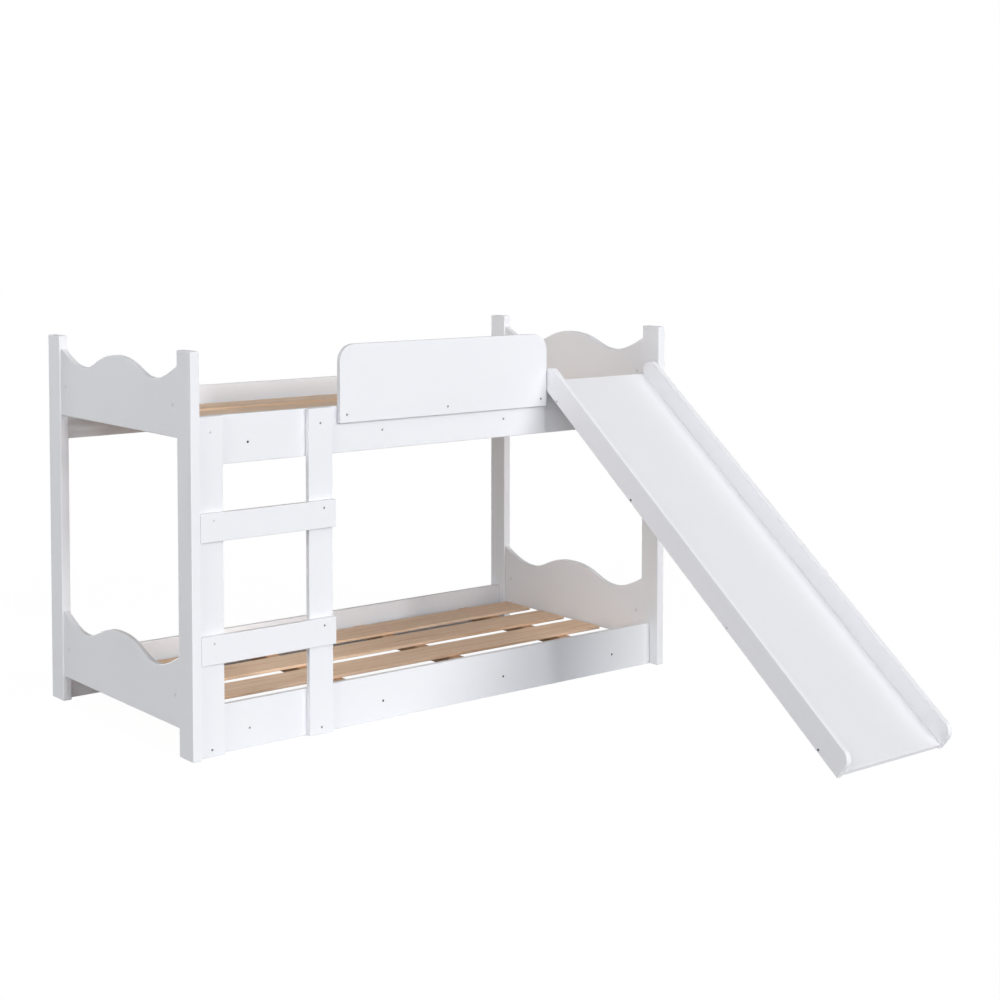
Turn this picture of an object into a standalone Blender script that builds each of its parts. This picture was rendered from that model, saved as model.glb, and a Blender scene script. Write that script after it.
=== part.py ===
"""A low bunk bed for children, with a ladder, a guard board and a slide.

Two slatted bases hang between side rails, the rails and the wavy end panels join four posts,
and the slide leans from the floor onto the upper front rail. All lengths are in metres.
The pieces are laid out with X along the bed from its middle, Y from the front of the posts
towards the back, and Z up from the floor. Their parent then puts the middle of the whole
piece of furniture, slide included, at the world's origin.
"""

import math

import bmesh
import bpy
from mathutils import Vector

# Bed frame
bed_length = 1.866
bed_width = 0.932
post_thickness = 0.030
post_width = 0.082
post_rise_above_panel = 0.039
board_thickness = 0.018
rail_height = 0.144
rail_setback = 0.037
bunk_spacing = 0.850

# End panels: each has a hump in the middle and a dip on either side of it
panel_base = 0.080
panel_height = 0.217
panel_dip_height = 0.165
panel_shoulder_height = 0.216
dip_place_share = 0.594
hump_handle_share = 0.326
dip_inner_handle_share = 0.200
dip_outer_handle_share = 0.143
shoulder_handle_share = 0.154
shoulder_fall_share = 0.57

# Slatted bases
batten_base = 0.042
batten_height = 0.034
batten_width = 0.044
batten_margin = 0.180
batten_count = 4
slat_thickness = 0.010
slat_width = 0.1415
slat_margin = 0.044
slat_count = 4
slat_end_clearance = 0.002

# Ladder
ladder_width = 0.464
stile_width = 0.085
rung_height = 0.084
first_rung_base = 0.275
rung_spacing = 0.3575
rung_screw_drop = 0.022
stile_top_screw_drop = 0.0455
stile_foot_screw_height = 0.022

# Guard board on the upper front rail, between the ladder and the slide
guard_ladder_gap = 0.0287
guard_slide_gap = 0.003
guard_height = 0.240
guard_overlap = 0.052
guard_corner_radius = 0.054
guard_screw_inset = 0.025

# Slide
slide_width = 0.469
slide_post_clearance = 0.021
slide_run = 1.271
slide_lift = 0.008
slide_side_height = 0.082
slide_top_level = 0.0654
slide_front_radius = 0.034
slide_rear_radius = 0.031
chute_setback = 0.005
chute_screw_shares = (0.059, 0.3415, 0.671, 0.9525)
ledger_height = 0.026

# Screws, with a flat head sunk into the board and a six-sided socket
screw_head_radius = 0.0036
screw_head_height = 0.0025
screw_shank_radius = 0.0022
screw_socket_radius = 0.0018
screw_socket_depth = 0.0015
screw_sink = 0.0003
screw_bite_share = 0.78
end_grain_bite = 0.032
screw_steps = 12
socket_sides = 6

# Rounded edges and small clearances
board_rounding = 0.002
post_rounding = 0.003
panel_rounding = 0.004
slide_rounding = 0.004
rounding_segments = 2
curve_steps = 8
touch_gap = 0.0003
cut_overrun = 0.002
weld_distance = 0.00001
flat_angle = math.radians(0.1)
sharp_angle = math.radians(35)

# Places that several pieces share
half_length = bed_length / 2
bed_height = bunk_spacing + panel_base + panel_height + post_rise_above_panel
post_inner_x = half_length - post_thickness
rail_end_x = post_inner_x - touch_gap
rail_outer_y = rail_setback
rail_inner_y = rail_setback + board_thickness
rail_top = bunk_spacing + rail_height
ladder_y = rail_outer_y - touch_gap - board_thickness
rung_y = ladder_y - touch_gap - board_thickness
ladder_left_x = -rail_end_x
ladder_right_x = ladder_left_x + ladder_width
stile_xs = (ladder_left_x + stile_width / 2, ladder_right_x - stile_width / 2)
slide_rise = rail_top + slide_lift
slide_angle = math.atan2(slide_rise, slide_run)
slide_right_x = post_inner_x - slide_post_clearance
slide_left_x = slide_right_x - slide_width
guard_left_x = ladder_right_x + guard_ladder_gap
guard_right_x = slide_left_x - guard_slide_gap
bunk_inner_width = bed_width - 2 * rail_inner_y
batten_pitch = 2 * (post_inner_x - batten_margin) / (batten_count - 1)
slat_pitch = (bunk_inner_width - 2 * slat_margin - slat_width) / (slat_count - 1)
board_screw = board_thickness * (1 + screw_bite_share)
end_grain_screw = board_thickness + end_grain_bite

# Colour, roughness and metallic value of each finish
WHITE_LACQUER = ((0.84, 0.85, 0.88, 1), 0.38, 0)
BARE_WOOD = ((0.58, 0.40, 0.26, 1), 0.6, 0)
DARK_STEEL = ((0.16, 0.16, 0.17, 1), 0.4, 1)


def clear_scene():
    for old in list(bpy.data.objects):
        bpy.data.objects.remove(old)


def new_collection(name):
    collection = bpy.data.collections.new(name)
    bpy.context.scene.collection.children.link(collection)
    return collection


clear_scene()
parts = new_collection("bunk_bed_with_slide")
cutters = new_collection("cutters")
bed_origin = bpy.data.objects.new("bed_origin", None)
parts.objects.link(bed_origin)


def move_to(piece, collection):
    for old in list(piece.users_collection):
        old.objects.unlink(piece)
    collection.objects.link(piece)


def give_finish(piece, finish):
    colour, roughness, metallic = finish
    material = bpy.data.materials.new(piece.name + "_finish")
    material.use_nodes = True
    shader = material.node_tree.nodes["Principled BSDF"]
    shader.inputs["Base Color"].default_value = colour
    shader.inputs["Roughness"].default_value = roughness
    shader.inputs["Metallic"].default_value = metallic
    piece.data.materials.clear()
    piece.data.materials.append(material)


def round_edges(piece, rounding):
    bevel = piece.modifiers.new("Rounded edges", "BEVEL")
    bevel.width = rounding
    bevel.segments = rounding_segments
    bevel.use_clamp_overlap = False


def complete(piece, name, finish, rounding):
    """Names a piece, files it, hangs it on the bed's origin, colours it and rounds its edges."""
    piece.name = name
    piece.data.name = name
    move_to(piece, parts)
    piece.parent = bed_origin
    give_finish(piece, finish)
    round_edges(piece, rounding)
    return piece


def add_board(name, x, y, z, finish=WHITE_LACQUER, rounding=board_rounding):
    """A board that fills a span along each axis."""
    spans = (x, y, z)
    bpy.ops.mesh.primitive_cube_add(size=1, location=[(low + high) / 2 for low, high in spans])
    board = bpy.context.object
    board.scale = [high - low for low, high in spans]
    bpy.ops.object.transform_apply(location=False, rotation=False, scale=True)
    return complete(board, name, finish, rounding)


def corner_points(corners):
    """Curve points of a polygon, with an arc in place of each corner that has a radius."""
    points = []
    for i, (corner, radius) in enumerate(corners):
        if not radius:
            points.append((corner, None, None))
            continue
        to_last = (corners[i - 1][0] - corner).normalized()
        to_next = (corners[(i + 1) % len(corners)][0] - corner).normalized()
        half_angle = to_last.angle(to_next) / 2
        reach = radius / math.tan(half_angle)
        handle = radius * 4 / 3 * math.tan(math.pi / 4 - half_angle / 2)
        arc_start = corner + to_last * reach
        arc_end = corner + to_next * reach
        points.append((arc_start, None, arc_start - to_last * handle))
        points.append((arc_end, arc_end - to_next * handle, None))
    return points


def outline_curve(points, thickness):
    """A closed flat outline, extruded to the thickness; a side with no handle is straight."""
    curve = bpy.data.curves.new("outline", "CURVE")
    curve.dimensions = "2D"
    curve.fill_mode = "BOTH"
    curve.extrude = thickness / 2
    curve.resolution_u = curve_steps
    spline = curve.splines.new("BEZIER")
    spline.bezier_points.add(len(points) - 1)
    spline.use_cyclic_u = True
    for bezier, (place, left, right) in zip(spline.bezier_points, points):
        bezier.co = place.to_3d()
        bezier.handle_left_type = "FREE" if left else "VECTOR"
        bezier.handle_right_type = "FREE" if right else "VECTOR"
        if left:
            bezier.handle_left = left.to_3d()
        if right:
            bezier.handle_right = right.to_3d()
    return curve


def mesh_of(form):
    """The mesh of an object with its modifiers, welded and with whole flat faces."""
    bpy.context.view_layer.update()
    graph = bpy.context.evaluated_depsgraph_get()
    mesh = bpy.data.meshes.new_from_object(form.evaluated_get(graph))
    shape = bmesh.new()
    shape.from_mesh(mesh)
    bmesh.ops.remove_doubles(shape, verts=shape.verts, dist=weld_distance)
    bmesh.ops.dissolve_limit(shape, angle_limit=flat_angle, verts=[], edges=shape.edges)
    bmesh.ops.recalc_face_normals(shape, faces=shape.faces)
    shape.to_mesh(mesh)
    shape.free()
    return mesh


def add_outline(name, points, thickness, place, rotation, rounding=board_rounding):
    """A board cut to an outline, which is drawn flat and then turned upright."""
    form = bpy.data.objects.new("form", outline_curve(points, thickness))
    cutters.objects.link(form)
    board = bpy.data.objects.new(name, mesh_of(form))
    bpy.data.objects.remove(form)
    parts.objects.link(board)
    board.location = place
    board.rotation_euler = rotation
    return complete(board, name, WHITE_LACQUER, rounding)


# An outline's own X and Y become the bed's Y and Z across it, or X and Z along it
ACROSS_BED = (math.radians(90), 0, math.radians(90))
ALONG_BED = (math.radians(90), 0, 0)

# A screw is drawn with its head facing Z
FACING_FRONT = (math.radians(90), 0, 0)
FACING_LEFT = (0, math.radians(-90), 0)


def turned_form(name, profile):
    """An object turned about Z from a profile that runs down its outer side."""
    shape = bmesh.new()
    corners = [shape.verts.new((radius, 0, height)) for radius, height in profile]
    for upper, lower in zip(corners, corners[1:]):
        shape.edges.new((upper, lower))
    mesh = bpy.data.meshes.new(name)
    shape.to_mesh(mesh)
    shape.free()
    form = bpy.data.objects.new(name, mesh)
    cutters.objects.link(form)
    turn = form.modifiers.new("Turned", "SCREW")
    turn.steps = screw_steps
    turn.render_steps = screw_steps
    turn.use_merge_vertices = True
    turn.merge_threshold = weld_distance
    return form


def add_socket_cutter():
    """A six-sided cutter for the socket in a screw's head."""
    shape = bmesh.new()
    bmesh.ops.create_cone(
        shape,
        cap_ends=True,
        segments=socket_sides,
        radius1=screw_socket_radius,
        radius2=screw_socket_radius,
        depth=2 * screw_socket_depth,
    )
    mesh = bpy.data.meshes.new("socket")
    shape.to_mesh(mesh)
    shape.free()
    socket = bpy.data.objects.new("socket", mesh)
    cutters.objects.link(socket)
    return socket


def cut(piece, cutter):
    boolean = piece.modifiers.new("Cut", "BOOLEAN")
    boolean.operation = "DIFFERENCE"
    boolean.object = cutter


def screw_mesh(length):
    profile = (
        (0, 0),
        (screw_head_radius, 0),
        (screw_head_radius, -screw_head_height),
        (screw_shank_radius, -screw_head_height),
        (screw_shank_radius, screw_shank_radius - length),
        (0, -length),
    )
    form = turned_form("screw", profile)
    socket = add_socket_cutter()
    cut(form, socket)
    mesh = mesh_of(form)
    bpy.data.objects.remove(form)
    bpy.data.objects.remove(socket)
    mesh.shade_smooth()
    mesh.set_sharp_from_angle(angle=sharp_angle)
    return mesh


def hole_mesh(length):
    """The screw's own profile with a gap all round, carried out past the board's face."""
    head_hole = screw_head_radius + touch_gap
    shank_hole = screw_shank_radius + touch_gap
    profile = (
        (0, cut_overrun),
        (head_hole, cut_overrun),
        (head_hole, -screw_head_height - touch_gap),
        (shank_hole, -screw_head_height - touch_gap),
        (shank_hole, -length - touch_gap),
        (0, -length - touch_gap),
    )
    form = turned_form("hole", profile)
    mesh = mesh_of(form)
    bpy.data.objects.remove(form)
    return mesh


SCREW_MESHES = {length: screw_mesh(length) for length in (board_screw, end_grain_screw)}
HOLE_MESHES = {length: hole_mesh(length) for length in (board_screw, end_grain_screw)}


def add_screw(name, place, facing, length, boards):
    """A screw with its head just under the board's face at this place, and its hole in the boards."""
    screw = bpy.data.objects.new(name, SCREW_MESHES[length].copy())
    hole = bpy.data.objects.new(name + "_hole", HOLE_MESHES[length])
    parts.objects.link(screw)
    cutters.objects.link(hole)
    for piece in (screw, hole):
        piece.parent = bed_origin
        piece.rotation_euler = facing
        piece.location = place
    inward = screw.rotation_euler.to_matrix() @ Vector((0, 0, -screw_sink))
    screw.location += inward
    hole.location += inward
    hole.hide_render = True
    hole.display_type = "WIRE"
    give_finish(screw, DARK_STEEL)
    for board in boards:
        cut(board, hole)


def make_posts():
    for end, outer_x in (("left", -half_length), ("right", half_length - post_thickness)):
        for side, outer_y in (("front", 0), ("back", bed_width - post_width)):
            add_board(
                f"post_{side}_{end}",
                (outer_x, outer_x + post_thickness),
                (outer_y, outer_y + post_width),
                (0, bed_height),
                rounding=post_rounding,
            )


def make_rails():
    """The two long boards of each bunk, between the posts; the lower pair stands on the floor."""
    rails = {}
    for bunk, base in (("lower", 0), ("upper", bunk_spacing)):
        for side, y in (("front", rail_outer_y), ("back", bed_width - rail_inner_y)):
            rails[bunk, side] = add_board(
                f"rail_{bunk}_{side}",
                (-rail_end_x, rail_end_x),
                (y, y + board_thickness),
                (base, base + rail_height),
            )
    return rails


def panel_points():
    """The end panel's outline about the middle of its underside, with its wavy top."""
    half_width = bed_width / 2 - post_width - touch_gap
    shoulder_fall = (panel_shoulder_height - panel_dip_height) * shoulder_fall_share
    hump = Vector((0, panel_height))
    hump_handle = Vector((half_width * hump_handle_share, 0))
    points = [(hump, hump - hump_handle, hump + hump_handle)]
    right_side = [
        (
            Vector((half_width * dip_place_share, panel_dip_height)),
            Vector((half_width * (dip_place_share - dip_inner_handle_share), panel_dip_height)),
            Vector((half_width * (dip_place_share + dip_outer_handle_share), panel_dip_height)),
        ),
        (
            Vector((half_width, panel_shoulder_height)),
            Vector(
                (
                    half_width * (1 - shoulder_handle_share),
                    panel_shoulder_height - shoulder_fall,
                )
            ),
            None,
        ),
        (Vector((half_width, 0)), None, None),
    ]
    points += right_side
    for place, left, right in reversed(right_side):
        mirrored = [Vector((-spot.x, spot.y)) if spot else None for spot in (place, right, left)]
        points.append(tuple(mirrored))
    return points


def make_end_panels():
    panel_x = half_length - post_thickness / 2
    for bunk, base in (("lower", 0), ("upper", bunk_spacing)):
        for end, x in (("left", -panel_x), ("right", panel_x)):
            add_outline(
                f"end_panel_{bunk}_{end}",
                panel_points(),
                board_thickness,
                (x, bed_width / 2, base + panel_base),
                ACROSS_BED,
                rounding=panel_rounding,
            )


def places_about_middle(count, pitch):
    return [(i - (count - 1) / 2) * pitch for i in range(count)]


def make_slatted_bases(rails):
    """Battens screwed between each pair of rails, and the slats that lie along the bed on them."""
    batten_ends = (rail_inner_y + touch_gap, bed_width - rail_inner_y - touch_gap)
    slat_end_x = post_inner_x - slat_end_clearance
    for bunk, base in (("lower", 0), ("upper", bunk_spacing)):
        batten_z = base + batten_base
        for i, x in enumerate(places_about_middle(batten_count, batten_pitch), start=1):
            batten = add_board(
                f"batten_{bunk}_{i}",
                (x - batten_width / 2, x + batten_width / 2),
                batten_ends,
                (batten_z, batten_z + batten_height),
                finish=BARE_WOOD,
            )
            add_screw(
                f"rail_screw_{bunk}_{i}",
                (x, rail_outer_y, batten_z + batten_height / 2),
                FACING_FRONT,
                end_grain_screw,
                (rails[bunk, "front"], batten),
            )
        slat_z = batten_z + batten_height + touch_gap
        for i, y in enumerate(places_about_middle(slat_count, slat_pitch), start=1):
            middle_y = bed_width / 2 + y
            add_board(
                f"slat_{bunk}_{i}",
                (-slat_end_x, slat_end_x),
                (middle_y - slat_width / 2, middle_y + slat_width / 2),
                (slat_z, slat_z + slat_thickness),
                finish=BARE_WOOD,
            )


def make_ladder(rails):
    """Two stiles screwed to the front rails, and two rungs screwed onto the stiles."""
    stiles = [
        add_board(
            f"ladder_stile_{side}",
            (x - stile_width / 2, x + stile_width / 2),
            (ladder_y, ladder_y + board_thickness),
            (0, rail_top),
        )
        for side, x in zip(("left", "right"), stile_xs)
    ]
    for side, x, stile in zip(("left", "right"), stile_xs, stiles):
        fixings = (
            ("upper", rail_top - stile_top_screw_drop),
            ("lower", stile_foot_screw_height),
        )
        for bunk, z in fixings:
            add_screw(
                f"stile_screw_{side}_{bunk}",
                (x, ladder_y, z),
                FACING_FRONT,
                board_screw,
                (stile, rails[bunk, "front"]),
            )
    for level, base in (("lower", first_rung_base), ("upper", first_rung_base + rung_spacing)):
        rung = add_board(
            f"ladder_rung_{level}",
            (ladder_left_x, ladder_right_x),
            (rung_y, rung_y + board_thickness),
            (base, base + rung_height),
        )
        for side, x, stile in zip(("left", "right"), stile_xs, stiles):
            add_screw(
                f"rung_screw_{level}_{side}",
                (x, rung_y, base + rung_height - rung_screw_drop),
                FACING_FRONT,
                board_screw,
                (rung, stile),
            )


def make_guard(rails):
    """The board with rounded upper corners that stops a child rolling out."""
    corners = [
        (Vector((guard_left_x, 0)), 0),
        (Vector((guard_right_x, 0)), 0),
        (Vector((guard_right_x, guard_height)), guard_corner_radius),
        (Vector((guard_left_x, guard_height)), guard_corner_radius),
    ]
    guard_base = rail_top - guard_overlap
    guard = add_outline(
        "guard_board",
        corner_points(corners),
        board_thickness,
        (0, ladder_y + board_thickness / 2, guard_base),
        ALONG_BED,
    )
    screw_xs = (
        guard_left_x + guard_screw_inset,
        (guard_left_x + guard_right_x) / 2,
        guard_right_x - guard_screw_inset,
    )
    for i, x in enumerate(screw_xs, start=1):
        add_screw(
            f"guard_screw_{i}",
            (x, ladder_y, guard_base + guard_screw_inset),
            FACING_FRONT,
            board_screw,
            (guard, rails["upper", "front"]),
        )


# The slide's slope, and the square to it, in the plane across the bed
up_slope = Vector((math.cos(slide_angle), math.sin(slide_angle)))
off_slope = Vector((-math.sin(slide_angle), math.cos(slide_angle)))

# The rounded lower corner of the sides, and not its sharp point, is what meets the floor
tip_fall = slide_rounding * (up_slope.y + off_slope.y - 1)
slide_tip = Vector((rail_outer_y - slide_run, -tip_fall))
slide_rear_y = rail_outer_y - touch_gap


def on_slope(along, above):
    """A point this far up the slide from its tip, and this far above its underside."""
    return slide_tip + up_slope * along + off_slope * above


def slope_at(y, above):
    """The point over y on the line that lies this far above the slide's underside."""
    start = on_slope(0, above)
    return start + up_slope * ((y - start.x) / up_slope.x)


def slide_side_corners():
    """The side's outline: square front end, level top and upright rear end at the rail."""
    level_z = rail_top + slide_lift + slide_top_level
    slope_start = on_slope(0, slide_side_height)
    level_start = slope_start + up_slope * ((level_z - slope_start.y) / up_slope.y)
    return [
        (slide_tip, 0),
        (slope_at(slide_rear_y, 0), 0),
        (Vector((slide_rear_y, level_z)), slide_rear_radius),
        (level_start, 0),
        (slope_start, slide_front_radius),
    ]


def chute_corners():
    """The chute's outline: it lies level with the underside of the sides, just short of their front."""
    return [
        (on_slope(chute_setback, 0), 0),
        (slope_at(slide_rear_y, 0), 0),
        (slope_at(slide_rear_y, board_thickness), 0),
        (on_slope(chute_setback, board_thickness), 0),
    ]


def make_slide():
    """Two sides and the chute between them, leaning on a ledger on top of the upper front rail."""
    left_x = slide_left_x + board_thickness / 2
    right_x = slide_right_x - board_thickness / 2
    sides = [
        add_outline(
            f"slide_side_{side}",
            corner_points(slide_side_corners()),
            board_thickness,
            (x, 0, 0),
            ACROSS_BED,
            rounding=slide_rounding,
        )
        for side, x in (("left", left_x), ("right", right_x))
    ]
    chute = add_outline(
        "slide_chute",
        corner_points(chute_corners()),
        slide_width - 2 * (board_thickness + touch_gap),
        ((left_x + right_x) / 2, 0, 0),
        ACROSS_BED,
        rounding=board_rounding / 2,
    )
    add_board(
        "slide_ledger",
        (slide_left_x, slide_right_x),
        (rail_outer_y, rail_inner_y),
        (rail_top + touch_gap, rail_top + touch_gap + ledger_height),
    )
    slope_length = slide_run / up_slope.x
    for i, share in enumerate(chute_screw_shares, start=1):
        place = on_slope(slope_length * share, board_thickness / 2)
        add_screw(
            f"slide_screw_{i}",
            (slide_left_x, place.x, place.y),
            FACING_LEFT,
            end_grain_screw,
            (sides[0], chute),
        )


def slide_reach():
    """How far the front of the slide's sides stands in front of the posts."""
    arc_middle = on_slope(slide_front_radius, slide_side_height - slide_front_radius)
    return slide_front_radius - arc_middle.x


make_posts()
rails = make_rails()
make_end_panels()
make_slatted_bases(rails)
make_ladder(rails)
make_guard(rails)
make_slide()
bed_origin.location.y = (slide_reach() - bed_width) / 2
cutters.hide_render = True
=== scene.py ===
# %% [markdown]
# # A low bunk bed with a slide
#
# The bed is a real product for small children: painted boards and posts, two slatted bases, a short ladder
# screwed to the front, a guard board and a straight slide. Its solids, at their real size, come from a
# CAD model. This lesson dresses them: it adds the small pieces that the CAD model leaves out, remodels the
# boards whose edges are curved, and gives each piece the finish that it has in a shop.
#
# Everything is in metres. X runs along the bed from the ladder's end to the slide's end, Y runs from the
# slide's foot to the back of the bed, and Z is up from the floor.

import math

import bmesh
import bpy
from mathutils import Matrix, Vector


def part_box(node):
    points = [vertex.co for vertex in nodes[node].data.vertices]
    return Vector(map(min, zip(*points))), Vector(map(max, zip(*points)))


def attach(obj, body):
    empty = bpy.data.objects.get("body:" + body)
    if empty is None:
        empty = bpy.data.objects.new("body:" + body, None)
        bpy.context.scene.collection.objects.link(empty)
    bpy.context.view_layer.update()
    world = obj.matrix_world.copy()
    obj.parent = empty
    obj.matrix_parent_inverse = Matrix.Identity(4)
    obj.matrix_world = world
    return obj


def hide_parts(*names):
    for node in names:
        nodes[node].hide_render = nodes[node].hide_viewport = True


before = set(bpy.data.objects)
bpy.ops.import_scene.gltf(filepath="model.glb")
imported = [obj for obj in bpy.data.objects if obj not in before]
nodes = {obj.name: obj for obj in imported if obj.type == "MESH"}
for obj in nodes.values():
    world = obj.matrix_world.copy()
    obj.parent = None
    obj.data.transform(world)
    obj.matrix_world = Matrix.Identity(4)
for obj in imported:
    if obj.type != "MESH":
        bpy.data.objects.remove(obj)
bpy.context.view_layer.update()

# %% [markdown]
# ## Units and selection
#
# Small sizes read better in millimetres, so `MM` turns them into Blender's metres. An operator acts on all
# that is selected, and the CAD nodes are selected after loading, so each piece starts from an empty
# selection.

# %% Unit and selection
MM = 0.001


def deselect_all():
    bpy.ops.object.select_all(action="DESELECT")


# %% [markdown]
# ## The camera
#
# The photograph looks along the bed from its left front corner, at a standing adult's eye level. Its
# upright edges are almost parallel, which is what a lens shift does: the camera stays nearly level and the
# picture is taken from the lower part of what the lens sees. The camera here leans down by three degrees
# and takes the rest of the framing from a shift.

# %% Place the camera
CAMERA_PLACE = (-3.469, -4.378, 1.578)
CAMERA_LEAN = math.radians(3)
CAMERA_TURN = math.radians(-38.24)
LENS_MM = 65.4
SHIFT_ACROSS = 0.02
SHIFT_DOWN = 0.1914

deselect_all()
tilt = math.radians(90) - CAMERA_LEAN
bpy.ops.object.camera_add(location=CAMERA_PLACE, rotation=(tilt, 0, CAMERA_TURN))
camera = bpy.context.object
camera.name = "photo_camera"
camera.data.lens = LENS_MM
camera.data.shift_x = SHIFT_ACROSS
camera.data.shift_y = -SHIFT_DOWN
bpy.context.scene.camera = camera
print("Camera looks", round(math.degrees(-CAMERA_TURN), 1), "degrees to the right of the bed's front")

# %% [markdown]
# ## Colours and shader nodes
#
# Colours are picked as sRGB hex values, as a paint chart gives them, and shaders want linear values, so
# one function converts them. Pattern sizes are given in millimetres, and a noise texture wants the number
# of features in a metre. Most values of a noise texture lie between 0.3 and 0.7, so two tones of one
# finish are set there.

# %% Colour and node helpers
WHITE = "#FFFFFF"
NOISE_LOW = 0.3
NOISE_HIGH = 0.7


def linear(hex_colour):
    """An sRGB colour such as "#C8A27A" as linear red, green, blue and alpha, by the sRGB standard."""
    values = [int(hex_colour[i : i + 2], 16) / 255 for i in (1, 3, 5)]
    return [v / 12.92 if v <= 0.04045 else ((v + 0.055) / 1.055) ** 2.4 for v in values] + [1]


def per_metre(size_mm):
    return 1000 / size_mm


def add_node(tree, kind, inputs=None, **settings):
    """Adds a shader node with its settings. Each input gets a value or a link from an output."""
    node = tree.nodes.new(kind)
    for name, value in settings.items():
        setattr(node, name, value)
    for name, value in (inputs or {}).items():
        if isinstance(value, bpy.types.NodeSocket):
            tree.links.new(value, node.inputs[name])
        else:
            node.inputs[name].default_value = value
    return node


def set_ramp(ramp_node, stops):
    """Gives a Color Ramp its stops, each a place from 0 to 1 and a hex colour."""
    ramp = ramp_node.color_ramp
    while len(ramp.elements) < len(stops):
        ramp.elements.new(1)
    for element, (place, hex_colour) in zip(ramp.elements, stops):
        element.position = place
        element.color = linear(hex_colour)


def set_two_tones(ramp_node, deep, pale):
    set_ramp(ramp_node, [(NOISE_LOW, deep), (NOISE_HIGH, pale)])


def new_material(name, roughness, ior):
    """A material with a Principled shader. Returns it, its node tree and its shader."""
    material = bpy.data.materials.new(name)
    material.use_nodes = True
    shader = material.node_tree.nodes["Principled BSDF"]
    shader.inputs["Roughness"].default_value = roughness
    shader.inputs["IOR"].default_value = ior
    return material, material.node_tree, shader


print("The grey #808080 in linear values:", round(linear("#808080")[0], 3))

# %% [markdown]
# ## White lacquer
#
# The panels, the guard board and the slide are MDF, and the posts, rails and ladder are solid timber, all
# sprayed with a satin white polyurethane lacquer. What the eye gets from it is a cool white with a soft
# sheen. Sprayed lacquer dries with orange peel, a very shallow waviness a few millimetres across, and its
# gloss varies a little from place to place, so reflections are never quite even. Under the paint, timber
# shows its grain as faint long ridges, and MDF shows none.
#
# A painted picture could hold such marks, but noise textures need no picture and no unwrapping, and their
# sizes are real ones. They read Object coordinates, so each pattern stays on its piece.

# %% Lacquer materials
LACQUER_IOR = 1.4
BOARD_ROUGHNESS = 0.55
SLIDE_ROUGHNESS = 0.6
LACQUER_GLOSS_SWING = 0.02
BOARD_WHITES = ("#E9EAED", "#EBECEF")
SLIDE_WHITES = ("#EEEEF1", "#F0F0F3")
PEEL_MM = 5
PEEL_DEPTH_MM = 0.004
CLOUD_MM = 420
GLOSS_PATCH_MM = 60
GRAIN_RIDGE_MM = 4
GRAIN_RIDGE_DEPTH_MM = 0.015
GRAIN_UPRIGHT = (1, 1, 0.02)
GRAIN_ALONG = (0.02, 1, 1)


def vary_gloss(tree, shader, noise, roughness, swing):
    """Lets a noise texture swing the roughness to both sides of its middle value."""
    gloss = add_node(
        tree,
        "ShaderNodeMapRange",
        {"Value": noise.outputs["Fac"], "To Min": roughness - swing, "To Max": roughness + swing},
    )
    tree.links.new(gloss.outputs["Result"], shader.inputs["Roughness"])


def white_lacquer(name, whites, roughness, grain=None):
    """Satin white lacquer. grain stretches the timber's grain along X, Y and Z, and is None on MDF."""
    material, tree, shader = new_material(name, roughness, LACQUER_IOR)
    place = add_node(tree, "ShaderNodeTexCoord").outputs["Object"]
    clouds = add_node(
        tree, "ShaderNodeTexNoise", {"Vector": place, "Scale": per_metre(CLOUD_MM), "Detail": 2}
    )
    tint = add_node(tree, "ShaderNodeValToRGB", {"Fac": clouds.outputs["Fac"]})
    set_two_tones(tint, *whites)
    tree.links.new(tint.outputs["Color"], shader.inputs["Base Color"])
    patches = add_node(
        tree, "ShaderNodeTexNoise", {"Vector": place, "Scale": per_metre(GLOSS_PATCH_MM), "Detail": 3}
    )
    vary_gloss(tree, shader, patches, roughness, LACQUER_GLOSS_SWING)
    peel = add_node(
        tree, "ShaderNodeTexNoise", {"Vector": place, "Scale": per_metre(PEEL_MM), "Detail": 1}
    )
    bump = add_node(
        tree,
        "ShaderNodeBump",
        {"Height": peel.outputs["Fac"], "Distance": PEEL_DEPTH_MM * MM, "Strength": 1},
    )
    if grain:
        stretched = add_node(tree, "ShaderNodeMapping", {"Vector": place, "Scale": grain})
        ridges = add_node(
            tree,
            "ShaderNodeTexNoise",
            {"Vector": stretched.outputs["Vector"], "Scale": per_metre(GRAIN_RIDGE_MM), "Detail": 3},
        )
        bump = add_node(
            tree,
            "ShaderNodeBump",
            {
                "Height": ridges.outputs["Fac"],
                "Distance": GRAIN_RIDGE_DEPTH_MM * MM,
                "Strength": 1,
                "Normal": bump.outputs["Normal"],
            },
        )
    tree.links.new(bump.outputs["Normal"], shader.inputs["Normal"])
    return material


lacquer_on_mdf = white_lacquer("white_lacquer_on_mdf", BOARD_WHITES, BOARD_ROUGHNESS)
lacquer_on_posts = white_lacquer(
    "white_lacquer_on_upright_timber", BOARD_WHITES, BOARD_ROUGHNESS, GRAIN_UPRIGHT
)
lacquer_on_rails = white_lacquer(
    "white_lacquer_on_lying_timber", BOARD_WHITES, BOARD_ROUGHNESS, GRAIN_ALONG
)
slide_lacquer = white_lacquer("white_slide_lacquer", SLIDE_WHITES, SLIDE_ROUGHNESS)
for lacquer in (lacquer_on_mdf, lacquer_on_posts, lacquer_on_rails, slide_lacquer):
    print(lacquer.name, "has", len(lacquer.node_tree.nodes), "nodes")

# %% [markdown]
# ## Bare wood
#
# The slats and battens are planed pine without a finish. Pine is made of pale early wood and darker late
# wood, which show as long streaks along a board, with fine fibres between them. The pattern is stretched
# along the grain, so each feature is tens of times longer than it is wide. Fresh planed pine is even in
# tone, so the streaks stay close to each other in colour. Real fibres are much finer than a millimetre and
# wouldn't show, so they are drawn 1.6 mm wide.

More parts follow.
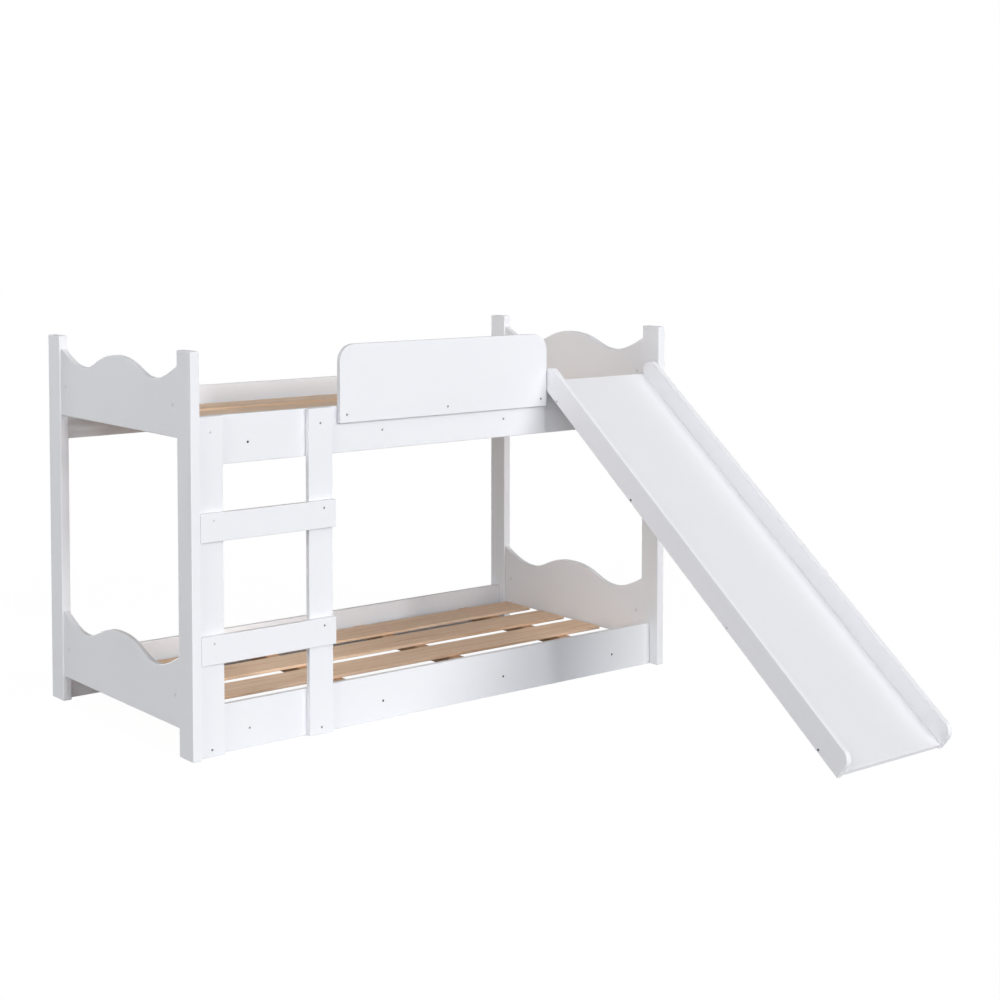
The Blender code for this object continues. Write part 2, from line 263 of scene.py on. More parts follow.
# %% Wood materials
WOOD_IOR = 1.45
STREAK_MM = 14
FIBRE_MM = 1.6
FIBRE_DEPTH_MM = 0.08
FIBRE_SHARE = 0.16
WOOD_ALONG_X = (0.035, 1, 1)
WOOD_ALONG_Y = (1, 0.035, 1)


def bare_wood(name, stops, stretch, roughness):
    """Planed, unfinished pine with its grain along the axis that the stretch makes long."""
    material, tree, shader = new_material(name, roughness, WOOD_IOR)
    place = add_node(tree, "ShaderNodeTexCoord").outputs["Object"]
    along = add_node(tree, "ShaderNodeMapping", {"Vector": place, "Scale": stretch}).outputs["Vector"]
    streaks = add_node(
        tree,
        "ShaderNodeTexNoise",
        {
            "Vector": along,
            "Scale": per_metre(STREAK_MM),
            "Detail": 4,
            "Roughness": 0.6,
            "Distortion": 0.6,
        },
    )
    fibres = add_node(
        tree, "ShaderNodeTexNoise", {"Vector": along, "Scale": per_metre(FIBRE_MM), "Detail": 2}
    )
    mixed = add_node(
        tree,
        "ShaderNodeMath",
        {0: fibres.outputs["Fac"], 1: FIBRE_SHARE, 2: streaks.outputs["Fac"]},
        operation="MULTIPLY_ADD",
    )
    tone = add_node(tree, "ShaderNodeValToRGB", {"Fac": mixed.outputs["Value"]})
    set_ramp(tone, stops)
    tree.links.new(tone.outputs["Color"], shader.inputs["Base Color"])
    bump = add_node(
        tree,
        "ShaderNodeBump",
        {"Height": fibres.outputs["Fac"], "Distance": FIBRE_DEPTH_MM * MM, "Strength": 1},
    )
    tree.links.new(bump.outputs["Normal"], shader.inputs["Normal"])
    return material


SLAT_TONES = [(0.34, "#E2B68F"), (0.54, "#F1CFAE"), (0.76, "#F8DDC3")]
BATTEN_TONES = [(0.42, "#C9A07C"), (0.58, "#D3AD8A"), (0.72, "#DAB796")]
slat_wood = bare_wood("planed_pine_slats", SLAT_TONES, WOOD_ALONG_X, roughness=0.6)
batten_wood = bare_wood("planed_pine_battens", BATTEN_TONES, WOOD_ALONG_Y, roughness=0.65)
print("Woods made:", slat_wood.name, "and", batten_wood.name)

# %% [markdown]
# ## Steel and plastic
#
# The screws are plated steel, dulled by handling, some darker than others. Metal has no colour of its
# own beyond what it reflects, so it gets a grey base colour, full metallic and a roughness with scuffs.
# Real scuffs are finer than the 1.2 mm drawn here, at which a near view still shows them.
#
# The caps over the fittings are moulded polyethylene. The steel mould is spark-eroded, which leaves a
# grain of about a tenth of a millimetre on the cap. That is too fine to show, so it is drawn 0.8 mm wide.

# %% Metal and plastic materials
DEFAULT_IOR = 1.5
SCUFF_MM = 1.2
STEEL_GLOSS_SWING = 0.12
CAP_WHITES = ("#D4D5D8", "#DCDDE0")
MOULD_GRAIN_MM = 0.8
MOULD_GRAIN_DEPTH_MM = 0.03


def plated_steel(name, hex_colour, roughness):
    """Plated steel of the given grey, whose gloss varies where it was scuffed."""
    material, tree, shader = new_material(name, roughness, DEFAULT_IOR)
    shader.inputs["Base Color"].default_value = linear(hex_colour)
    shader.inputs["Metallic"].default_value = 1
    place = add_node(tree, "ShaderNodeTexCoord").outputs["Object"]
    scuffs = add_node(
        tree, "ShaderNodeTexNoise", {"Vector": place, "Scale": per_metre(SCUFF_MM), "Detail": 4}
    )
    vary_gloss(tree, shader, scuffs, roughness, STEEL_GLOSS_SWING)
    return material


def moulded_plastic(name, whites, roughness):
    """Injection-moulded polyethylene: an even colour with a fine grain that dulls its sheen."""
    material, tree, shader = new_material(name, roughness, DEFAULT_IOR)
    place = add_node(tree, "ShaderNodeTexCoord").outputs["Object"]
    grain = add_node(
        tree, "ShaderNodeTexNoise", {"Vector": place, "Scale": per_metre(MOULD_GRAIN_MM), "Detail": 2}
    )
    tone = add_node(tree, "ShaderNodeValToRGB", {"Fac": grain.outputs["Fac"]})
    set_two_tones(tone, *whites)
    tree.links.new(tone.outputs["Color"], shader.inputs["Base Color"])
    bump = add_node(
        tree,
        "ShaderNodeBump",
        {"Height": grain.outputs["Fac"], "Distance": MOULD_GRAIN_DEPTH_MM * MM, "Strength": 1},
    )
    tree.links.new(bump.outputs["Normal"], shader.inputs["Normal"])
    return material


pale_steel = plated_steel("pale_plated_steel", "#BEBFC2", roughness=0.45)
dull_steel = plated_steel("dull_zinc_plated_steel", "#939497", roughness=0.42)
dark_steel = plated_steel("dark_plated_steel", "#3E3F42", roughness=0.38)
cap_plastic = moulded_plastic("moulded_cap_plastic", CAP_WHITES, roughness=0.5)
print("Made:", pale_steel.name, dull_steel.name, dark_steel.name, cap_plastic.name)

# %% [markdown]
# ## Finish the CAD pieces
#
# The posts, rails, ledger, battens, slats, ladder boards and chute are straight boards, and right as they
# are, so each only gets its material. Every other node gets one too, and a finer piece that is made
# further on stands for it.

# %% Assign materials to the CAD nodes
FINISH_OF = {
    "post": lacquer_on_posts,
    "ladder_stile": lacquer_on_posts,
    "ladder_rung": lacquer_on_rails,
    "rail_lower": lacquer_on_rails,
    "rail_upper": lacquer_on_rails,
    "end_panel": lacquer_on_mdf,
    "guard_board": lacquer_on_mdf,
    "slide": slide_lacquer,
    "batten": batten_wood,
    "slat": slat_wood,
}


def give_material(piece, material):
    piece.data.materials.clear()
    piece.data.materials.append(material)


def board_finish(name):
    return next(material for start, material in FINISH_OF.items() if name.startswith(start))


for node_name, node in nodes.items():
    give_material(node, dull_steel if "screw" in node_name else board_finish(node_name))
print("CAD nodes finished:", len(nodes))

# %% [markdown]
# ## Screws
#
# Every joint is made with wood screws whose flat heads have a six-sided socket and lie just under the
# board's face. One screw is modelled: a short cylinder with a broken rim is the head, its lower end is
# inset and extruded to make the shank, and a six-sided cutter leaves the socket. All the others are
# copies of it, turned to face out of their board, so that they are alike as screws from one box are.
#
# Edit mode works on the faces that are selected, and code picks them by where their normals point.

# %% Pick faces
NEARLY_ONE = 0.9


def make_active(piece):
    deselect_all()
    piece.select_set(True)
    bpy.context.view_layer.objects.active = piece


def select_faces(piece, wanted):
    """Goes into edit mode with only the faces selected that pass the test."""
    make_active(piece)
    bpy.ops.object.mode_set(mode="EDIT")
    bpy.ops.mesh.select_mode(type="FACE")
    bpy.ops.mesh.select_all(action="DESELECT")
    shape = bmesh.from_edit_mesh(piece.data)
    for face in shape.faces:
        face.select_set(wanted(face))
    bmesh.update_edit_mesh(piece.data)


def facing_down(face):
    return face.normal.z < -NEARLY_ONE


def facing_up(face):
    return face.normal.z > NEARLY_ONE


print("A face looks up or down when its normal's Z passes", NEARLY_ONE)

# %% Model one screw
HEAD_RADIUS_MM = 3.6
HEAD_HEIGHT_MM = 2.2
HEAD_RIM_MM = 0.4
HEAD_RIM_STEPS = 3
SHANK_RADIUS_MM = 2.2
SHANK_LENGTH_MM = 26
SOCKET_RADIUS_MM = 2.0
SOCKET_DEPTH_MM = 1.6
SOCKET_SIDES = 6
ROUND_STEPS = 40
SMOOTH_ANGLE = math.radians(30)
UP = Vector((0, 0, 1))


def apply_modifier(piece, kind, **settings):
    """Adds a modifier with these settings and applies it at once."""
    make_active(piece)
    modifier = piece.modifiers.new(kind.title(), kind)
    for name, value in settings.items():
        setattr(modifier, name, value)
    bpy.ops.object.modifier_apply(modifier=modifier.name)


def stepped_peg(head_radius, head_height, shank_radius, shank_length):
    """A cylinder on a thinner one, its top at the origin. Sizes are in millimetres."""
    deselect_all()
    middle = -UP * head_height / 2 * MM
    bpy.ops.mesh.primitive_cylinder_add(
        vertices=ROUND_STEPS, radius=head_radius * MM, depth=head_height * MM, location=middle
    )
    peg = bpy.context.object
    bpy.ops.object.transform_apply(location=True, rotation=False, scale=False)
    select_faces(peg, facing_down)
    bpy.ops.mesh.inset(thickness=(head_radius - shank_radius) * MM)
    bpy.ops.mesh.extrude_region_move(TRANSFORM_OT_translate={"value": -UP * shank_length * MM})
    bpy.ops.object.mode_set(mode="OBJECT")
    return peg


screw = stepped_peg(HEAD_RADIUS_MM, HEAD_HEIGHT_MM, SHANK_RADIUS_MM, SHANK_LENGTH_MM)
select_faces(screw, facing_up)
bpy.ops.mesh.bevel(offset=HEAD_RIM_MM * MM, segments=HEAD_RIM_STEPS, affect="EDGES")
bpy.ops.object.mode_set(mode="OBJECT")
deselect_all()
bpy.ops.mesh.primitive_cylinder_add(
    vertices=SOCKET_SIDES, radius=SOCKET_RADIUS_MM * MM, depth=2 * SOCKET_DEPTH_MM * MM
)
socket = bpy.context.object
apply_modifier(screw, "BOOLEAN", object=socket, operation="DIFFERENCE")
bpy.data.objects.remove(socket)
bpy.ops.object.shade_smooth_by_angle(angle=SMOOTH_ANGLE)
print("One screw:", len(screw.data.polygons), "faces")

# %% [markdown]
# ## Screw places
#
# The CAD screws give the places of all the screws that show from the front and the left. The box round a
# CAD screw touches its head's top on one side: the left side for the screws of the slide, and the front
# for all the others. Some heads get a paler steel and some a darker one than the rest, picked one by one.

# %% Copy the screws to their places
FACING_FRONT = Matrix.Rotation(math.radians(90), 4, "X")
FACING_BACK = Matrix.Rotation(math.radians(-90), 4, "X")
FACING_LEFT = Matrix.Rotation(math.radians(-90), 4, "Y")
FACING_RIGHT = Matrix.Rotation(math.radians(90), 4, "Y")


def copy_to(original, place, facing):
    """A copy with its own mesh whose top faces a side, with the top's middle at this place."""
    copy = original.copy()
    copy.data = original.data.copy()
    bpy.context.collection.objects.link(copy)
    copy.matrix_world = Matrix.Translation(place) @ facing
    return copy


def screw_top(name):
    """Where the top of a CAD screw's head is, and the side that it faces."""
    low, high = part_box(name)
    middle = (low + high) / 2
    if name.startswith("slide"):
        return Vector((low.x, middle.y, middle.z)), FACING_LEFT
    return Vector((middle.x, low.y, middle.z)), FACING_FRONT


def finish_piece(piece, name, material):
    """Puts a piece's place in its mesh, gives it its material and lets it ride on the bed."""
    make_active(piece)
    bpy.ops.object.transform_apply(location=True, rotation=True, scale=True)
    piece.name = piece.data.name = name
    give_material(piece, material)
    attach(piece, "root")


# The screws whose heads get a paler steel, and after them those whose heads get a darker one, picked one
# by one.
PALE_SCREWS = (
    "stile_screw_left_upper",
    "rung_screw_lower_left",
    "rung_screw_upper_left",
    "slide_screw_2",
    "slide_screw_4",
)
DARK_SCREWS = (
    "rail_screw_lower_2",
    "rail_screw_lower_3",
    "rail_screw_lower_4",
    "rail_screw_upper_1",
    "slide_screw_1",
    "slide_screw_3",
)


def screw_finish(name):
    if name in PALE_SCREWS:
        return pale_steel
    return dark_steel if name in DARK_SCREWS else dull_steel


screw_nodes = sorted(name for name in nodes if "screw" in name)
for name in screw_nodes:
    turned = copy_to(screw, *screw_top(name))
    finish_piece(turned, name + "_turned", screw_finish(name))
    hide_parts(name)
print("Screws that stand for CAD nodes:", len(screw_nodes))

# %% [markdown]
# ## Drilled holes
#
# A board that is remodelled here needs its holes again. A stepped drill has the screw's own form with a
# little room round it, so the cutter is a stepped peg that starts in front of the board's face, and a
# Boolean modifier takes it out of the board.

# %% Drill
HOLE_ROOM_MM = 0.3
DRILL_START_MM = 1.5

drill = stepped_peg(
    HEAD_RADIUS_MM + HOLE_ROOM_MM,
    HEAD_HEIGHT_MM + HOLE_ROOM_MM + DRILL_START_MM,
    SHANK_RADIUS_MM + HOLE_ROOM_MM,
    SHANK_LENGTH_MM + HOLE_ROOM_MM,
)


def drill_hole(board, screw_place, facing):
    outward = facing.to_3x3() @ UP
    cutter = copy_to(drill, screw_place + outward * DRILL_START_MM * MM, facing)
    apply_modifier(board, "BOOLEAN", object=cutter, operation="DIFFERENCE")
    bpy.data.objects.remove(cutter)


print("The drill is", round(2 * (HEAD_RADIUS_MM + HOLE_ROOM_MM), 1), "mm wide")

# %% [markdown]
# ## Rounded board edges
#
# A board's edges are broken with a router before it is sprayed, because paint doesn't hold on a sharp
# edge and a child shouldn't bump into one. A Bevel modifier does the same to a mesh. Only edges sharper
# than 30 degrees are cut, so a curved outline stays whole. Weighted normals then keep the wide faces
# flat while the narrow rounding is shaded smooth.

# %% Round a board
ROUNDING_STEPS = 4
WIDE_FACE_WEIGHT = 80


def round_board(board, radius):
    apply_modifier(
        board,
        "BEVEL",
        width=radius,
        segments=ROUNDING_STEPS,
        limit_method="ANGLE",
        angle_limit=SMOOTH_ANGLE,
        use_clamp_overlap=False,
    )


def smooth_board(board):
    make_active(board)
    bpy.ops.object.shade_smooth_by_angle(angle=SMOOTH_ANGLE)
    apply_modifier(board, "WEIGHTED_NORMAL", weight=WIDE_FACE_WEIGHT, keep_sharp=True)


def board_in_box(low, high):
    """A board that fills the box between two corners."""
    deselect_all()
    bpy.ops.mesh.primitive_cube_add(size=1, location=(low + high) / 2)
    board = bpy.context.object
    board.scale = high - low
    bpy.ops.object.transform_apply(location=False, rotation=False, scale=True)
    return board


def round_corners(board, radius, steps, wanted):
    """Rounds the corners of a board's outline, which are the edges whose middle passes the test."""
    make_active(board)
    bpy.ops.object.mode_set(mode="EDIT")
    bpy.ops.mesh.select_mode(type="EDGE")
    bpy.ops.mesh.select_all(action="DESELECT")
    shape = bmesh.from_edit_mesh(board.data)
    for edge in shape.edges:
        ends = [board.matrix_world @ vert.co for vert in edge.verts]
        edge.select_set(wanted((ends[0] + ends[1]) / 2))
    bmesh.update_edit_mesh(board.data)
    bpy.ops.mesh.bevel(offset=radius, segments=steps, affect="EDGES")
    bpy.ops.object.mode_set(mode="OBJECT")


print("Edges sharper than", round(math.degrees(SMOOTH_ANGLE)), "degrees get rounded")

# %% [markdown]
# ## Guard board
#
# The guard board keeps a child from rolling out. Its two upper corners are cut to a wide radius. The
# board starts as a box of the CAD node's size, the two upper corner edges are beveled to the wide radius,
# and the small rounding comes after it, so that it follows the wide one. A curve could draw the outline
# too, but a box keeps the node's size with no sum to do. The screws' holes are cut last, because a bevel
# would round their rims too.

# %% Model the guard board
GUARD_CORNER_MM = 54
GUARD_CORNER_STEPS = 24
GUARD_ROUNDING_MM = 2
NEAR_END_SHARE = 0.9

guard_low, guard_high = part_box("guard_board")
guard = board_in_box(guard_low, guard_high)
guard_middle = (guard_low + guard_high) / 2
guard_half = (guard_high - guard_low) / 2


def upper_guard_corner(middle):
    at_end = abs(middle.x - guard_middle.x) > NEAR_END_SHARE * guard_half.x
    return at_end and middle.z > guard_middle.z + NEAR_END_SHARE * guard_half.z


round_corners(guard, GUARD_CORNER_MM * MM, GUARD_CORNER_STEPS, upper_guard_corner)
round_board(guard, GUARD_ROUNDING_MM * MM)
for name in screw_nodes:
    if name.startswith("guard"):
        drill_hole(guard, *screw_top(name))
smooth_board(guard)
finish_piece(guard, "guard_board_rounded", lacquer_on_mdf)
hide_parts("guard_board")
print("Guard board:", len(guard.data.polygons), "faces")

# %% [markdown]
# ## End panels
#
# Each bunk has a panel between its end posts, with one hump and two dips cut along its top by a band saw
# that follows a template. A Bezier curve is such a template: a few points with handles give a line
# without kinks. The outline is drawn flat, filled, extruded to the board's thickness, turned upright and
# made a mesh. Its points are shares of the panel's own width and height.

# %% Draw the wavy outline
PANEL_HEIGHT_MM = 217
DIP_HEIGHT_MM = 165
SHOULDER_HEIGHT_MM = 216
DIP_PLACE_SHARE = 0.594
HUMP_HANDLE_SHARE = 0.326
DIP_INNER_HANDLE_SHARE = 0.200
DIP_OUTER_HANDLE_SHARE = 0.143
SHOULDER_HANDLE_SHARE = 0.154
SHOULDER_FALL_SHARE = 0.57
OUTLINE_STEPS = 28
PANEL_ROUNDING_MM = 4


def right_half_of_outline(half_width):
    """Each point is its place and the handles before and after it, None where the line is straight."""
    dip_x = half_width * DIP_PLACE_SHARE
    inner_x = dip_x - half_width * DIP_INNER_HANDLE_SHARE
    outer_x = dip_x + half_width * DIP_OUTER_HANDLE_SHARE
    fall = (SHOULDER_HEIGHT_MM - DIP_HEIGHT_MM) * SHOULDER_FALL_SHARE
    shoulder_x = half_width * (1 - SHOULDER_HANDLE_SHARE)
    return [
        ((dip_x, DIP_HEIGHT_MM), (inner_x, DIP_HEIGHT_MM), (outer_x, DIP_HEIGHT_MM)),
        ((half_width, SHOULDER_HEIGHT_MM), (shoulder_x, SHOULDER_HEIGHT_MM - fall), None),
        ((half_width, 0), None, None),
    ]


def mirrored(point):
    place, before, after = [spot and (-spot[0], spot[1]) for spot in point]
    return place, after, before


def panel_outline(half_width):
    reach = half_width * HUMP_HANDLE_SHARE
    hump = ((0, PANEL_HEIGHT_MM), (-reach, PANEL_HEIGHT_MM), (reach, PANEL_HEIGHT_MM))
    half = right_half_of_outline(half_width)
    return [hump, *half, *[mirrored(point) for point in reversed(half)]]


def draw_outline(points, thickness):
    """A flat Bezier curve through points in millimetres, filled and extruded to the thickness."""
    deselect_all()
    bpy.ops.curve.primitive_bezier_curve_add(location=(0, 0, 0))
    outline = bpy.context.object
    curve = outline.data
    curve.dimensions = "2D"
    curve.fill_mode = "BOTH"
    curve.extrude = thickness / 2
    curve.resolution_u = OUTLINE_STEPS
    spline = curve.splines[0]
    spline.bezier_points.add(len(points) - len(spline.bezier_points))
    spline.use_cyclic_u = True
    for knot, (place, before, after) in zip(spline.bezier_points, points):
        knot.handle_left_type = "FREE" if before else "VECTOR"
        knot.handle_right_type = "FREE" if after else "VECTOR"
        knot.co = Vector((*place, 0)) * MM
        if before:
            knot.handle_left = Vector((*before, 0)) * MM
        if after:
            knot.handle_right = Vector((*after, 0)) * MM
    return outline


print("A panel is", PANEL_HEIGHT_MM, "mm high at its hump and", DIP_HEIGHT_MM, "mm at its dips")

# %% Cut the panels
UPRIGHT_ACROSS_BED = Matrix(((0, 0, 1, 0), (1, 0, 0, 0), (0, 1, 0, 0), (0, 0, 0, 1)))
WELD_MM = 0.01
FLAT_ANGLE = math.radians(0.1)


def board_from_outline(outline, place):
    """Turns a flat outline upright, with its X along the bed's Y, and makes it a clean mesh."""
    outline.matrix_world = Matrix.Translation(place) @ UPRIGHT_ACROSS_BED
    make_active(outline)
    bpy.ops.object.convert(target="MESH")
    board = bpy.context.object
    bpy.ops.object.mode_set(mode="EDIT")
    bpy.ops.mesh.select_all(action="SELECT")
    bpy.ops.mesh.remove_doubles(threshold=WELD_MM * MM)
    bpy.ops.mesh.dissolve_limited(angle_limit=FLAT_ANGLE)
    bpy.ops.mesh.normals_make_consistent(inside=False)
    bpy.ops.object.mode_set(mode="OBJECT")
    return board


for bunk in ("lower", "upper"):
    for end in ("left", "right"):
        panel_name = f"end_panel_{bunk}_{end}"
        low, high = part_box(panel_name)
        half_width_mm = (high.y - low.y) / 2 / MM
        outline = draw_outline(panel_outline(half_width_mm), high.x - low.x)
        middle = (low + high) / 2
        panel = board_from_outline(outline, Vector((middle.x, middle.y, low.z)))
        round_board(panel, PANEL_ROUNDING_MM * MM)
        smooth_board(panel)
        finish_piece(panel, panel_name + "_smooth", lacquer_on_mdf)
        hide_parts(panel_name)
print("Last panel:", panel.name, "with", len(panel.data.polygons), "faces")

# %% [markdown]
# ## Slide sides
#
# The slide's sides are straight boards with a square front end, a level top at the bunk and an upright
# end against the rail. A joiner saws them from a plank, so this cell saws them too: a box is cut by three
# planes. Then the front corner and the rear corner are rounded, after them all the edges, and the screws'
# holes come last. The tip of the front end loses a little height when it is rounded. The sharp tip
# therefore starts that much below the floor, and the round one just touches it.

# %% Saw the slide sides
SLIDE_RUN_MM = 1271
SLIDE_RISE_MM = 1002
SIDE_HEIGHT_MM = 82
FRONT_CORNER_MM = 34
REAR_CORNER_MM = 31
CORNER_STEPS = 14
SLIDE_ROUNDING_MM = 4
RAIL_GAP_MM = 0.3
BLANK_MARGIN_MM = 25
NEAR_MM = 1

slope = math.atan2(SLIDE_RISE_MM, SLIDE_RUN_MM)
up_slope = Vector((0, math.cos(slope), math.sin(slope)))
off_slope = Vector((0, -math.sin(slope), math.cos(slope)))


def saw(board, place, waste_side):
    """Cuts a board along a plane, drops what lies on the waste side and closes the cut."""
    make_active(board)
    bpy.ops.object.mode_set(mode="EDIT")
    bpy.ops.mesh.select_all(action="SELECT")
    bpy.ops.mesh.bisect(plane_co=place, plane_no=waste_side, use_fill=True, clear_outer=True)
    bpy.ops.object.mode_set(mode="OBJECT")


def near(corner):
    return lambda middle: (middle.yz - corner.yz).length < NEAR_MM * MM


def slide_screw_places(side):
    """Both sides have the same screws, as deep under the right face as under the left one."""
    places = [screw_top(name)[0] for name in screw_nodes if name.startswith("slide")]
    if side == "right":
        outer_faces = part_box("slide_side_left")[0].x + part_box("slide_side_right")[1].x
        places = [Vector((outer_faces - place.x, place.y, place.z)) for place in places]
    return places


tip_fall = SLIDE_ROUNDING_MM * MM * (up_slope.z + off_slope.z - 1)
for side, facing in (("left", FACING_LEFT), ("right", FACING_RIGHT)):
    side_name = f"slide_side_{side}"
    low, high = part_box(side_name)
    tip = Vector((low.x, high.y + (RAIL_GAP_MM - SLIDE_RUN_MM) * MM, -tip_fall))
    front_corner = tip + off_slope * SIDE_HEIGHT_MM * MM
    board = board_in_box(low - Vector((0, BLANK_MARGIN_MM, BLANK_MARGIN_MM)) * MM, high)
    saw(board, tip, -off_slope)
    saw(board, front_corner, off_slope)
    saw(board, tip, -up_slope)
    round_corners(board, FRONT_CORNER_MM * MM, CORNER_STEPS, near(front_corner))
    round_corners(board, REAR_CORNER_MM * MM, CORNER_STEPS, near(high))
    round_board(board, SLIDE_ROUNDING_MM * MM)
    for place in slide_screw_places(side):
        drill_hole(board, place, facing)
    smooth_board(board)
    finish_piece(board, side_name + "_smooth", slide_lacquer)
    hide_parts(side_name)
    print(board.name, "reaches down to", round(min(vert.co.z for vert in board.data.vertices), 4))

# %% [markdown]
# ## Screws on the slide's right side
#
# The chute is held from both sides, so the right side has the same four screws as the left one, facing
# right. The CAD model has only the left ones.

# %% Copy the screws to the right side
right_places = slide_screw_places("right")
for i, place in enumerate(right_places, start=1):
    turned = copy_to(screw, place, FACING_RIGHT)
    finish_piece(turned, f"slide_screw_right_{i}", dull_steel)
bpy.data.objects.remove(screw)
bpy.data.objects.remove(drill)
print("Screws on the right side:", len(right_places))

# %% [markdown]
# ## Cover caps
#
# Where a fitting's hole would face the room, the maker closes it with a press-in plastic cap: two on each
# end panel, near the posts, and one on each back rail behind every batten. A cap is a thin disc with a
# domed rim, a little greyer than the lacquer round it. One is made from a short cylinder by a bevel round
# its upper face, and the others are copies.

# %% Model the caps
CAP_RADIUS_MM = 6
CAP_HEIGHT_MM = 0.8
CAP_DOME_MM = 0.5
CAP_DOME_STEPS = 4
CAP_SEAT_MM = 0.02

deselect_all()
bpy.ops.mesh.primitive_cylinder_add(
    vertices=ROUND_STEPS,
    radius=CAP_RADIUS_MM * MM,
    depth=CAP_HEIGHT_MM * MM,
    location=-UP * CAP_HEIGHT_MM / 2 * MM,
)
cap = bpy.context.object
bpy.ops.object.transform_apply(location=True, rotation=False, scale=False)
select_faces(cap, facing_up)
bpy.ops.mesh.bevel(offset=CAP_DOME_MM * MM, segments=CAP_DOME_STEPS, affect="EDGES")
bpy.ops.object.mode_set(mode="OBJECT")
bpy.ops.object.shade_smooth_by_angle(angle=SMOOTH_ANGLE)
print("One cap:", len(cap.data.polygons), "faces")

# %% Press the caps in
PANEL_CAP_INSET_MM = 33
PANEL_CAP_HEIGHT_MM = 95
BATTENS_IN_BUNK = 4


def press_cap(name, place, facing):
    """The cap's underside lies on the board's face, a hair off it so that the two don't flicker."""
    outward = facing.to_3x3() @ UP
    pressed = copy_to(cap, place + outward * (CAP_HEIGHT_MM + CAP_SEAT_MM) * MM, facing)
    finish_piece(pressed, name, cap_plastic)


inset = PANEL_CAP_INSET_MM * MM
for bunk in ("lower", "upper"):
    for end in ("left", "right"):
        low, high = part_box(f"end_panel_{bunk}_{end}")
        cap_z = low.z + PANEL_CAP_HEIGHT_MM * MM
        for side, cap_y in (("front", low.y + inset), ("back", high.y - inset)):
            press_cap(f"panel_cap_{bunk}_{end}_{side}", Vector((low.x, cap_y, cap_z)), FACING_LEFT)
    rail_back_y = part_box(f"rail_{bunk}_back")[1].y
    for i in range(1, BATTENS_IN_BUNK + 1):
        low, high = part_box(f"batten_{bunk}_{i}")
        middle = (low + high) / 2
        press_cap(f"rail_cap_{bunk}_{i}", Vector((middle.x, rail_back_y, middle.z)), FACING_BACK)
bpy.data.objects.remove(cap)

# %% [markdown]
# ## Floor
#
# A photograph for a catalogue stands the product on a white sweep. The floor is a plain plane that glows
# white to the camera and in reflections, which is told from the kind of ray, and is matt grey to all other
# rays, so that it throws no more light on the bed than a real floor does. A small share of the matt paint
# also shows to the camera, and so the floor keeps a trace of the bed's shadow.

# %% White floor
FLOOR_SIZE = 60
FLOOR_PAINT = "#B8B8B8"
FLOOR_ROUGHNESS = 0.9
FLOOR_IOR = 1.45
FLOOR_GLOW = 1.135
SHADOW_SHARE = 0.15


def white_when_seen(tree, share):
    """The share for a ray that shows the background, straight or in a reflection, and 0 for others."""
    ray = add_node(tree, "ShaderNodeLightPath").outputs
    seen = ray["Is Camera Ray"]
    for kind in ("Is Glossy Ray", "Is Transmission Ray"):
        either = add_node(tree, "ShaderNodeMath", {0: seen, 1: ray[kind]}, operation="MAXIMUM")
        seen = either.outputs["Value"]
    shown = add_node(tree, "ShaderNodeMath", {0: seen, 1: share}, operation="MULTIPLY")
    return shown.outputs["Value"]


deselect_all()
bpy.ops.mesh.primitive_plane_add(size=FLOOR_SIZE, location=(0, 0, 0))
floor = bpy.context.object
floor.name = "floor"
floor_paint, tree, shader = new_material("matt_white_floor", FLOOR_ROUGHNESS, FLOOR_IOR)
shader.inputs["Base Color"].default_value = linear(FLOOR_PAINT)
shader.inputs["Specular IOR Level"].default_value = 0
glow = add_node(tree, "ShaderNodeEmission", {"Color": linear(WHITE), "Strength": FLOOR_GLOW})
glow_share = white_when_seen(tree, 1 - SHADOW_SHARE)
mixed = add_node(
    tree, "ShaderNodeMixShader", {0: glow_share, 1: shader.outputs["BSDF"], 2: glow.outputs["Emission"]}
)
tree.links.new(mixed.outputs["Shader"], tree.nodes["Material Output"].inputs["Surface"])
give_material(floor, floor_paint)
print("The floor is", FLOOR_SIZE, "m wide and shows", SHADOW_SHARE, "of its shadows")

# %% [markdown]
# ## World
#
# The world is the air round the scene. To the camera and in reflections it is pure white, so that no edge
# shows where the floor ends. To all other rays it is only a weak fill, because the lamps do the lighting.

# %% World
AMBIENT_STRENGTH = 0.05
BACKGROUND_STRENGTH = 1

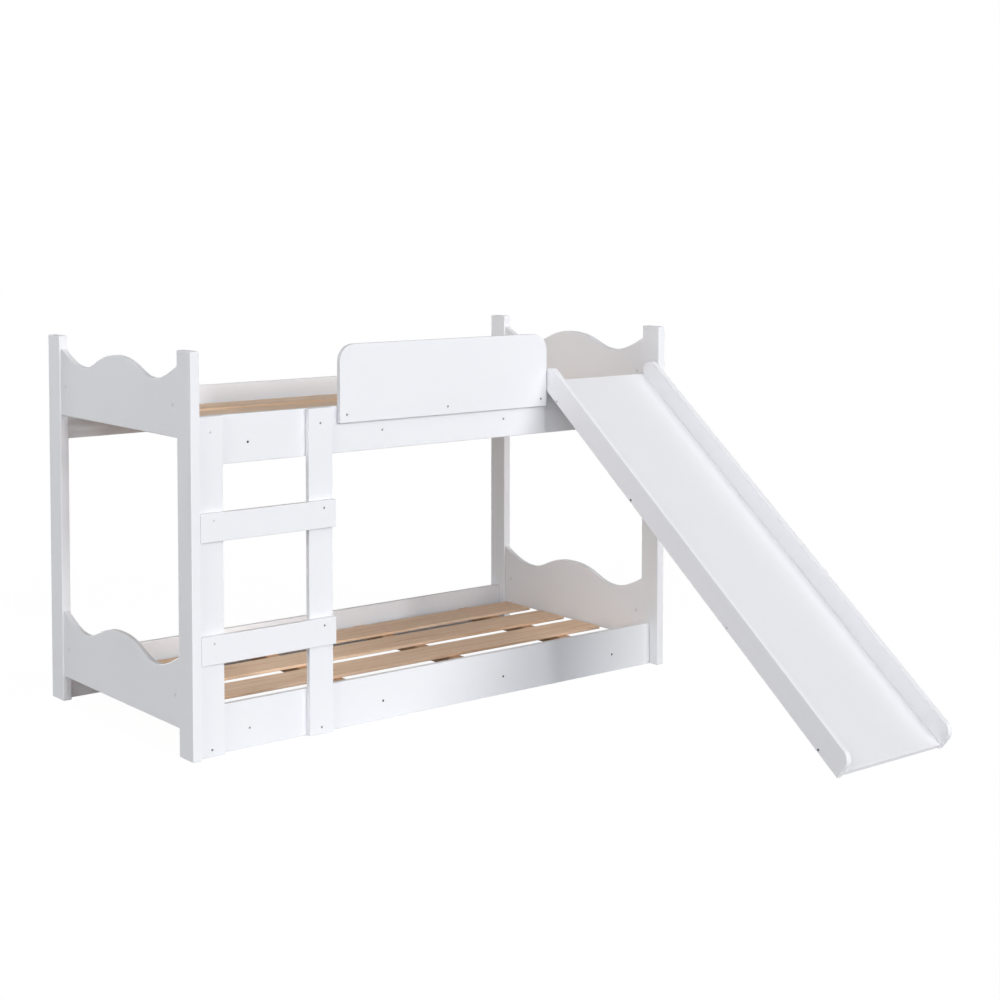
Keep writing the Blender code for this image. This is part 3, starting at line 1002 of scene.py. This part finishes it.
world = bpy.data.worlds.new("studio")
bpy.context.scene.world = world
world.use_nodes = True
tree = world.node_tree
fill = tree.nodes["Background"]
fill.inputs["Color"].default_value = linear(WHITE)
fill.inputs["Strength"].default_value = AMBIENT_STRENGTH
backdrop = add_node(
    tree, "ShaderNodeBackground", {"Color": linear(WHITE), "Strength": BACKGROUND_STRENGTH}
)
mixed = add_node(
    tree,
    "ShaderNodeMixShader",
    {
        0: white_when_seen(tree, 1),
        1: fill.outputs["Background"],
        2: backdrop.outputs["Background"],
    },
)
tree.links.new(mixed.outputs["Shader"], tree.nodes["World Output"].inputs["Surface"])
print("World strength:", AMBIENT_STRENGTH)

# %% [markdown]
# ## Lamps
#
# A studio lights white furniture with large softboxes, so that its edges show by soft changes of tone. A
# sun lamp with a wide angle does the same and keeps its strength all over the bed. Broad, low suns stand
# all round, and their shadows have no edge. One narrower sun from the front gives the slide's shadow on
# the lower rail the one faint edge that it has.

# %% Lamps
LAMP_HEIGHT = 3


def add_sun(name, from_right, above, spread, strength, hex_colour=WHITE):
    """A sun so many degrees right of the bed's front and above the floor. Its spread blurs shadows."""
    deselect_all()
    turn = (math.radians(90 - above), 0, math.radians(from_right))
    bpy.ops.object.light_add(type="SUN", location=(0, 0, LAMP_HEIGHT), rotation=turn)
    lamp = bpy.context.object
    lamp.name = name
    lamp.data.angle = math.radians(spread)
    lamp.data.energy = strength
    lamp.data.color = linear(hex_colour)[:3]


# Each sun's degrees to the right and above the floor, its spread in degrees and its strength
add_sun("front_light", 15, 17, 30, 1.53)
add_sun("narrow_front_light", -2, 13, 5, 0.6)
add_sun("left_front_light", -27, 13, 24, 0.42, "#EAF0FF")
add_sun("left_light", -65, 27, 30, 0.97)
add_sun("low_left_light", -90, 4, 24, 0.7)
add_sun("low_right_light", 90, 4, 24, 1.6)
add_sun("low_back_light", 180, 4, 24, 2.2)

# %% [markdown]
# ## View transform
#
# Blender's usual view transform softens highlights and greys a white background. Standard shows each
# colour as it is written.

# %% View settings
bpy.context.scene.view_settings.view_transform = "Standard"
print("View transform:", bpy.context.scene.view_settings.view_transform)
